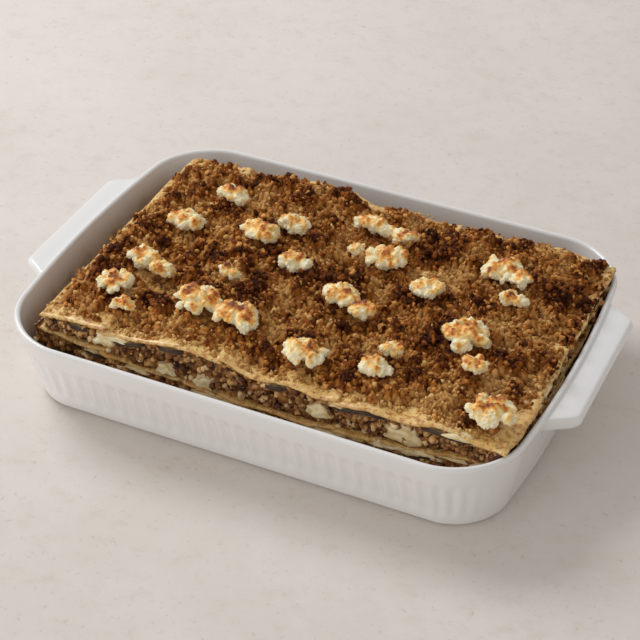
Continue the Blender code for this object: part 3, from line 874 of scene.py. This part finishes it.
def crumb_kind(char, generator):
    """Kind of grain that lies at a place: pale in the hollows, and burnt on top of the clumps."""
    value = char + generator.uniform(-0.24, 0.24)
    if value > 0.68:
        return "dark"
    return "brown" if value > 0.26 else "pale"


def margin_crumbs(generator):
    """Grains that have rolled onto the bare strip of pasta at the front."""
    placements = []
    for _ in range(MARGIN_CRUMBS):
        x = generator.uniform(FOOD_LEFT + 0.004, FOOD_RIGHT - 0.004)
        if ripple(x, 0.0, 0.8, 0.012) < -0.15:
            continue
        y = blend(FOOD_FRONT + 0.0012, top_limits(x)[0] + 0.001, generator.random() ** 0.35)
        size = blend(0.0005, 0.0016, generator.random() ** 2)
        placements.append(((x, y, sheet_bottom("top", x) + SHEET + size * 0.55), size, generator.random()))
    return placements


def build_top_crumbs(surface):
    generator = random.Random(SEED)
    placements = {kind: [] for kind in CRUMB_KINDS}
    tries = 0
    while tries < MOST_TRIES and any(len(placements[kind]) < most for kind, most in CRUMB_KINDS.items()):
        tries += 1
        x = generator.uniform(FOOD_LEFT + 0.0008, FOOD_RIGHT - 0.0010)
        front, back = top_limits(x)
        y = generator.uniform(front - 0.0010, back + 0.0032)
        if in_cheese(x, y, -0.0015) or x > right_limit(y) + 0.0015 * ripple(0.1, y, 0.2, 0.006):
            continue
        height, char, _ = surface.sample(x, y)
        kind = crumb_kind(char, generator)
        if len(placements[kind]) >= CRUMB_KINDS[kind]:
            continue
        size = blend(0.0007, 0.0018, generator.random() ** 1.6) * (0.90 + 0.25 * char)
        floor = sheet_bottom("top", x) + SHEET
        height = floor + (height - floor) * edge_rounding(x, y, front, back + BACK_SPILL)
        z = min(TALLEST - size, height + size * generator.uniform(-0.35, 0.35))
        placements[kind].append(((x, y, z), size, generator.random()))
    placements["pale"] += margin_crumbs(generator)
    for kind, placed in placements.items():
        mesh = join_crumbs(f"mince_grains_{kind}", placed, generator)
        finish_piece(f"mince_grains_{kind}", mesh, mince_material(kind), ["mince_top"])


def build_side_crumbs():
    """Loose grains on the four sides of the fillings."""
    generator = random.Random(SEED + 1)
    layers = (
        ("filling_grains_bottom", BOTTOM_FILLING_LEFT, 1100,
         lambda x: 0.0260, lambda x: sheet_bottom("middle", x)),
        ("filling_grains_middle", MIDDLE_FILLING_LEFT, 2200,
         lambda x: sheet_bottom("middle", x) + SHEET, lambda x: sheet_bottom("top", x)),
    )
    for name, left, count, bottom, top in layers:
        placements = []
        places, _, _ = food_outline(left, FILLING_RIGHT)
        for _ in range(count):
            x, y, out_x, out_y = places[generator.randrange(len(places))]
            size = blend(0.0008, 0.0024, generator.random() ** 1.8)
            z = generator.uniform(bottom(x) + size * 0.7, top(x) - size * 0.9)
            depth = filling_depth(x, y, z) + size * generator.uniform(-0.50, 0.35)
            point = fit_in_dish(x + out_x * depth, y + out_y * depth, min(z, DISH_HEIGHT))
            placements.append(((point.x, point.y, z), size, generator.random()))
        mesh = join_crumbs(name, placements, generator)
        finish_piece(name, mesh, filling_grain_material(), [])


# Cheese
def cheese_seat(x):
    """Height of the mince's plain top, that the lumps lie on."""
    return sheet_bottom("top", x) + SHEET + TOP_DEPTH - 0.0004


def build_cheeses():
    for number, (x, y, width, depth) in enumerate(CHEESE, 1):
        build_cheese(number, x, y, width, depth)


def cheese_curds(number, width, depth, rise):
    """Middles and radii of the curds that a lump is pressed together from, round its own middle."""
    generator = random.Random(SEED + number * 7)
    curds = [(Vector((0, 0, 0)), min(width, depth) * 0.30)]
    count = 12 + round(34 * width * depth / 0.00055)
    while len(curds) < count:
        angle = generator.uniform(0.0, math.tau)
        out = math.sqrt(generator.uniform(0.02, 1.0))
        radius = generator.uniform(0.11, 0.22) * min(width, 0.018)
        x = math.cos(angle) * out * (width * 0.64 - radius * 0.8)
        y = math.sin(angle) * out * (depth * 0.64 - radius * 0.8)
        top = rise * (1.0 - CHEESE_BELOW) * math.sqrt(max(0.0, 1.0 - 0.75 * out * out)) - radius
        curds.append((Vector((x, y, generator.uniform(blend(-rise * CHEESE_BELOW, top, 0.35), top))), radius))
    return curds


def pressed_together(curds, voxel):
    """One closed skin round a group of overlapping balls."""
    bm = bmesh.new()
    for middle, radius in curds:
        bmesh.ops.create_icosphere(bm, subdivisions=3, radius=radius, matrix=Matrix.Translation(middle))
    mesh = bpy.data.meshes.new("curds")
    bm.to_mesh(mesh)
    bm.free()
    lump = bpy.data.objects.new("curds", mesh)
    bpy.context.scene.collection.objects.link(lump)
    remesh = lump.modifiers.new("skin", "REMESH")
    remesh.mode = "VOXEL"
    remesh.voxel_size = voxel
    soften = lump.modifiers.new("soften", "SMOOTH")
    soften.iterations = 1
    skin = bpy.data.meshes.new_from_object(lump.evaluated_get(bpy.context.evaluated_depsgraph_get()))
    bpy.data.objects.remove(lump, do_unlink=True)
    return skin


def build_cheese(number, x, y, width, depth):
    """Crumbly lump of white cheese with knobs that are toasted on top."""
    rise = CHEESE_RISE * (0.65 + 0.35 * min(1.0, width / 0.022))
    below = rise * CHEESE_BELOW
    centre = Vector((x, y, cheese_seat(x) + GAP + below))
    mesh = pressed_together(cheese_curds(number, width, depth, rise), CHEESE_VOXEL)
    mesh.name = f"cheese_lump_{number:02d}"
    toast = []
    for vert in mesh.vertices:
        direction = vert.co.normalized()
        here = vert.co + centre
        bump = 0.0014 * (granule(here.x, here.y, here.z, 0.0021) - 0.6)
        vert.co = here + direction * bump
        vert.co.z = max(vert.co.z, centre.z - below - 0.0006)
        height = (vert.co.z - centre.z) / (rise * (1.0 - CHEESE_BELOW))
        patch = ragged(0.0, (here.x, here.y, number), (1.0, 0.0060), (0.6, 0.0026))
        toast.append(smooth_step(0.10 + 0.66 * height + 0.55 * patch + bump * 200))
    add_attribute(mesh, "toast", toast)
    finish_piece(mesh.name, mesh, cheese_material(), [f"cheese_{number:02d}"])


# Materials
class Shader:
    """Node tree of one material, with short calls for the nodes that the finishes here share."""

    def __init__(self, name):
        self.material = bpy.data.materials.new(name)
        self.material.use_nodes = True
        self.tree = self.material.node_tree
        self.surface = self.tree.nodes["Principled BSDF"]
        self.place = self.tree.nodes.new("ShaderNodeTexCoord").outputs["Object"]

    def set(self, **values):
        for name, value in values.items():
            self.surface.inputs[name.replace("_", " ")].default_value = value

    def translucent(self, weight, radius):
        self.set(Subsurface_Weight=weight, Subsurface_Radius=radius, Subsurface_Scale=1.0)

    def connect(self, value, socket):
        """Links a node's output to a socket, or gives the socket a fixed number or colour."""
        if isinstance(value, bpy.types.NodeSocket):
            self.tree.links.new(value, socket)
        else:
            socket.default_value = (*value, 1.0) if isinstance(value, tuple) else value

    def node(self, kind, **inputs):
        """New node with the inputs that are named here set or linked."""
        node = self.tree.nodes.new("ShaderNode" + kind)
        for name, value in inputs.items():
            self.connect(value, node.inputs[name.replace("_", " ")])
        return node

    def noise(self, size, detail=4.0, roughness=0.55):
        node = self.node("TexNoise", Vector=self.place, Scale=1.0 / size, Detail=detail, Roughness=roughness)
        return node.outputs["Fac"]

    def attribute(self, name):
        node = self.node("Attribute")
        node.attribute_name = name
        return node.outputs["Fac"]

    def ramp(self, value, *stops):
        node = self.node("ValToRGB", Fac=value)
        elements = node.color_ramp.elements
        while len(elements) < len(stops):
            elements.new(0.5)
        for element, (position, colour) in zip(elements, stops):
            element.position = position
            element.color = (*colour, 1.0)
        return node.outputs["Color"]

    def mix(self, factor, first, second, kind="MIX"):
        node = self.node("Mix", Factor=factor)
        node.data_type = "RGBA"
        node.blend_type = kind
        self.connect(first, node.inputs[6])
        self.connect(second, node.inputs[7])
        return node.outputs[2]

    def math(self, operation, first, second):
        node = self.node("Math")
        node.operation = operation
        node.use_clamp = True
        self.connect(first, node.inputs[0])
        self.connect(second, node.inputs[1])
        return node.outputs["Value"]

    def colour(self, value):
        self.connect(value, self.surface.inputs["Base Color"])

    def roughness(self, size, low, high):
        """Gloss that varies in spots of the given size."""
        node = self.node("MapRange", Value=self.noise(size), To_Min=low, To_Max=high)
        self.connect(node.outputs["Result"], self.surface.inputs["Roughness"])

    def bump(self, depth, strength, *grain):
        """Fine relief, from noise whose size comes first in the rest of the call."""
        node = self.node("Bump", Height=self.noise(*grain), Distance=depth, Strength=strength)
        self.connect(node.outputs["Normal"], self.surface.inputs["Normal"])


WHITE = (1.0, 1.0, 1.0)
MATERIALS = {}


def finish(name):
    """Marks a function that describes a finish, which is then made once for all pieces that ask for it."""
    def mark(describe):
        def get(*details):
            key = "_".join((name, *details))
            if key not in MATERIALS:
                shader = Shader(key)
                describe(shader, *details)
                MATERIALS[key] = shader.material
            return MATERIALS[key]
        return get
    return mark


@finish("white_glaze")
def ceramic_material(shader):
    stain = shader.attribute("stain")
    patchy = shader.math("MULTIPLY", stain, shader.noise(0.012, 6.0, 0.65))
    shader.colour(shader.ramp(
        patchy, (0.0, (0.84, 0.835, 0.83)), (0.30, (0.74, 0.66, 0.55)), (0.80, (0.36, 0.21, 0.10))))
    shader.roughness(0.030, 0.10, 0.20)
    shader.bump(0.0003, 0.10, 0.030, 2.0)
    shader.set(Coat_Weight=0.25, Coat_Roughness=0.08)


@finish("pasta")
def pasta_material(shader):
    base = shader.ramp(
        shader.noise(0.012, 6.0, 0.65), (0.32, (0.62, 0.345, 0.090)), (0.50, (0.84, 0.570, 0.205)),
        (0.72, (0.94, 0.720, 0.360)))
    specks = shader.ramp(shader.noise(0.0034, 5.0, 0.75), (0.48, WHITE), (0.60, (0.46, 0.20, 0.055)))
    speckled = shader.mix(0.85, base, specks, "MULTIPLY")
    edge = shader.math("MULTIPLY", shader.attribute("browned"), shader.noise(0.006, 5.0, 0.7))
    browned = shader.mix(shader.math("MULTIPLY", edge, 1.1), speckled, (0.62, 0.33, 0.110))
    shader.colour(browned)
    shader.roughness(0.008, 0.15, 0.38)
    shader.bump(0.0006, 0.6, 0.0030, 5.0)
    shader.translucent(0.12, (0.004, 0.002, 0.001))


@finish("mince_filling")
def filling_material(shader):
    base = shader.ramp(
        shader.noise(0.0055, 6.0, 0.65), (0.32, (0.12, 0.036, 0.006)), (0.50, (0.40, 0.165, 0.044)),
        (0.70, (0.78, 0.48, 0.19)))
    # Painted shade: the creases between the grains are darkened in the colour, as the shade that falls there.
    painted_crease_shade = shader.ramp(shader.attribute("crown"), (0.08, (0.07, 0.03, 0.01)), (0.60, WHITE))
    shader.colour(shader.mix(1.0, base, painted_crease_shade, "MULTIPLY"))
    shader.roughness(0.0040, 0.35, 0.65)
    shader.bump(0.0007, 0.9, 0.0016, 5.0, 0.7)
    shader.set(Specular_IOR_Level=0.35)


@finish("mince_filling_grains")
def filling_grain_material(shader):
    base = shader.ramp(
        shader.attribute("tone"), (0.0, (0.09, 0.022, 0.003)), (0.35, (0.42, 0.175, 0.044)),
        (0.72, (0.94, 0.580, 0.225)), (1.0, (0.99, 0.86, 0.54)))
    patches = shader.ramp(shader.noise(0.0090, 3.0), (0.42, (0.40, 0.26, 0.16)), (0.54, (1.0, 0.98, 0.95)))
    shader.colour(shader.mix(1.0, base, patches, "MULTIPLY"))
    shader.roughness(0.0030, 0.16, 0.42)
    shader.bump(0.0004, 0.8, 0.0010, 4.0, 0.7)


MINCE_COLOURS = {
    "pale": ((0.33, 0.145, 0.034), (0.61, 0.330, 0.098), (0.92, 0.610, 0.245)),
    "brown": ((0.21, 0.062, 0.008), (0.53, 0.208, 0.042), (0.84, 0.430, 0.128)),
    "dark": ((0.018, 0.004, 0.001), (0.090, 0.020, 0.004), (0.40, 0.125, 0.024)),
}


@finish("browned_mince")
def mince_material(shader, kind):
    if kind == "relief":
        char = shader.attribute("char")
        grain = shader.math("MULTIPLY", shader.noise(0.0032, 6.0, 0.7), 0.55)
        value = shader.math("ADD", shader.math("MULTIPLY", char, 0.62), grain)
        browned = shader.ramp(
            value, (0.20, (0.78, 0.460, 0.160)), (0.38, (0.64, 0.320, 0.092)), (0.60, (0.38, 0.127, 0.019)),
            (0.88, (0.040, 0.009, 0.001)))
        # Painted shade: the creases between the grains of the relief are darkened in the colour, as the shade
        # that falls there.
        painted_crease_shade = shader.ramp(shader.attribute("crown"), (0.12, (0.24, 0.12, 0.05)), (0.66, WHITE))
        base = shader.mix(1.0, browned, painted_crease_shade, "MULTIPLY")
    else:
        low, middle, high = MINCE_COLOURS[kind]
        tone = shader.math("MULTIPLY", shader.attribute("tone"), 0.55)
        mottled = shader.math("ADD", tone, shader.math("MULTIPLY", shader.noise(0.0018, 4.0, 0.7), 0.5))
        base = shader.ramp(mottled, (0.15, low), (0.45, middle), (0.85, high))
    shader.colour(base)
    shader.roughness(0.0035, 0.42, 0.75)
    shader.bump(0.0006, 1.0, 0.0011, 5.0, 0.75)
    shader.set(Specular_IOR_Level=0.10)


@finish("aubergine")
def aubergine_material(shader):
    flesh = shader.ramp(shader.noise(0.0040, 5.0), (0.3, (0.16, 0.095, 0.045)), (0.7, (0.42, 0.31, 0.17)))
    skin = shader.ramp(shader.noise(0.0060, 4.0), (0.3, (0.010, 0.006, 0.007)), (0.7, (0.050, 0.022, 0.020)))
    shader.colour(shader.mix(shader.attribute("skin"), flesh, skin))
    shader.roughness(0.0040, 0.18, 0.38)
    shader.bump(0.0005, 0.6, 0.0025, 4.0)
    shader.set(Specular_IOR_Level=0.20)


@finish("white_sauce")
def sauce_material(shader):
    shader.colour(shader.ramp(
        shader.noise(0.0060, 5.0), (0.30, (0.76, 0.54, 0.24)), (0.50, (0.92, 0.75, 0.43)),
        (0.75, (0.98, 0.88, 0.62))))
    shader.roughness(0.0050, 0.22, 0.42)
    shader.bump(0.0005, 0.5, 0.0030, 3.0)
    shader.translucent(0.2, (0.004, 0.003, 0.002))


@finish("toasted_cheese")
def cheese_material(shader):
    mottle = shader.math("MULTIPLY", shader.noise(0.0022, 5.0, 0.7), 0.28)
    value = shader.math("ADD", shader.math("MULTIPLY", shader.attribute("toast"), 0.85), mottle)
    shader.colour(shader.ramp(
        value, (0.16, (0.98, 0.87, 0.59)), (0.35, (0.98, 0.68, 0.24)), (0.58, (0.90, 0.38, 0.055)),
        (0.84, (0.46, 0.130, 0.018)), (1.0, (0.120, 0.032, 0.008))))
    shader.roughness(0.0030, 0.35, 0.65)
    shader.bump(0.0005, 0.8, 0.0012, 5.0, 0.7)
    shader.translucent(0.25, (0.004, 0.003, 0.002))


@finish("pale_plaster")
def ground_material(shader):
    broad = shader.ramp(
        shader.noise(0.14, 5.0, 0.6), (0.35, (0.725, 0.665, 0.612)), (0.65, (0.765, 0.715, 0.672)))
    fine = shader.ramp(
        shader.noise(0.016, 9.0, 0.75), (0.34, (0.93, 0.905, 0.875)), (0.46, (0.985, 0.98, 0.975)),
        (0.60, WHITE))
    pits = shader.ramp(shader.noise(0.0050, 7.0, 0.75), (0.33, (0.84, 0.77, 0.70)), (0.42, WHITE))
    shader.colour(shader.mix(1.0, shader.mix(1.0, broad, fine, "MULTIPLY"), pits, "MULTIPLY"))
    shader.roughness(0.050, 0.60, 0.80)
    shader.bump(0.0006, 0.35, 0.010, 8.0, 0.7)


# Room
def build_ground():
    bpy.ops.mesh.primitive_grid_add(x_subdivisions=8, y_subdivisions=8, size=8.0)
    ground = bpy.context.object
    ground.name = "ground"
    ground.data.materials.append(ground_material())


def add_area_light(name, place, size, energy, colour):
    """Lamp that faces the middle of the table."""
    light = bpy.data.lights.new(name, "AREA")
    light.shape = "RECTANGLE"
    light.size, light.size_y = size
    light.energy = energy
    light.color = colour
    lamp = bpy.data.objects.new(name, light)
    lamp.location = place
    lamp.rotation_euler = (-Vector(place)).to_track_quat("-Z", "Y").to_euler()
    bpy.context.scene.collection.objects.link(lamp)


def build_lights():
    """Soft window light from the left, a low fill from the front, and a warm sky."""
    add_area_light(
        "window", place=(-1.55, 0.50, 1.55), size=(1.1, 1.1), energy=28.0, colour=(0.96, 0.985, 1.02))
    add_area_light(
        "fill", place=(-0.9, -2.0, 0.40), size=(2.0, 0.7), energy=10.5, colour=(1.0, 0.99, 0.98))
    world = bpy.data.worlds.new("studio")
    world.use_nodes = True
    background = world.node_tree.nodes["Background"]
    background.inputs["Color"].default_value = (1.0, 0.965, 0.925, 1.0)
    background.inputs["Strength"].default_value = 0.50
    bpy.context.scene.world = world


def build_camera():
    azimuth = math.radians(CAMERA_AZIMUTH)
    elevation = math.radians(CAMERA_ELEVATION)
    level = math.cos(elevation)
    back = Vector((math.sin(azimuth) * level, -math.cos(azimuth) * level, math.sin(elevation)))
    right = Vector((0, 0, 1)).cross(back).normalized()
    up = back.cross(right)
    roll = math.radians(CAMERA_ROLL)
    turned_right = right * math.cos(roll) + up * math.sin(roll)
    turned_up = up * math.cos(roll) - right * math.sin(roll)
    camera_data = bpy.data.cameras.new("camera")
    camera_data.lens = CAMERA_LENS
    camera_data.sensor_width = 36.0
    camera_data.clip_start = 0.05
    camera_data.clip_end = 50.0
    camera = bpy.data.objects.new("camera", camera_data)
    turn = Matrix((turned_right, turned_up, back)).transposed().to_4x4()
    camera.matrix_world = Matrix.Translation(Vector(CAMERA_TARGET) + back * CAMERA_DISTANCE) @ turn
    bpy.context.scene.collection.objects.link(camera)
    bpy.context.scene.camera = camera


def main():
    build_camera()
    build_lights()
    build_ground()
    build_dish()
    build_sheets()
    build_fillings()
    build_slices()
    build_creams()
    build_smears()
    surface = MinceSurface(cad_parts["mince_top"])
    build_mince_core(surface)
    build_top_crumbs(surface)
    build_side_crumbs()
    build_cheeses()
    bpy.context.scene.view_settings.view_transform = "Standard"


main()
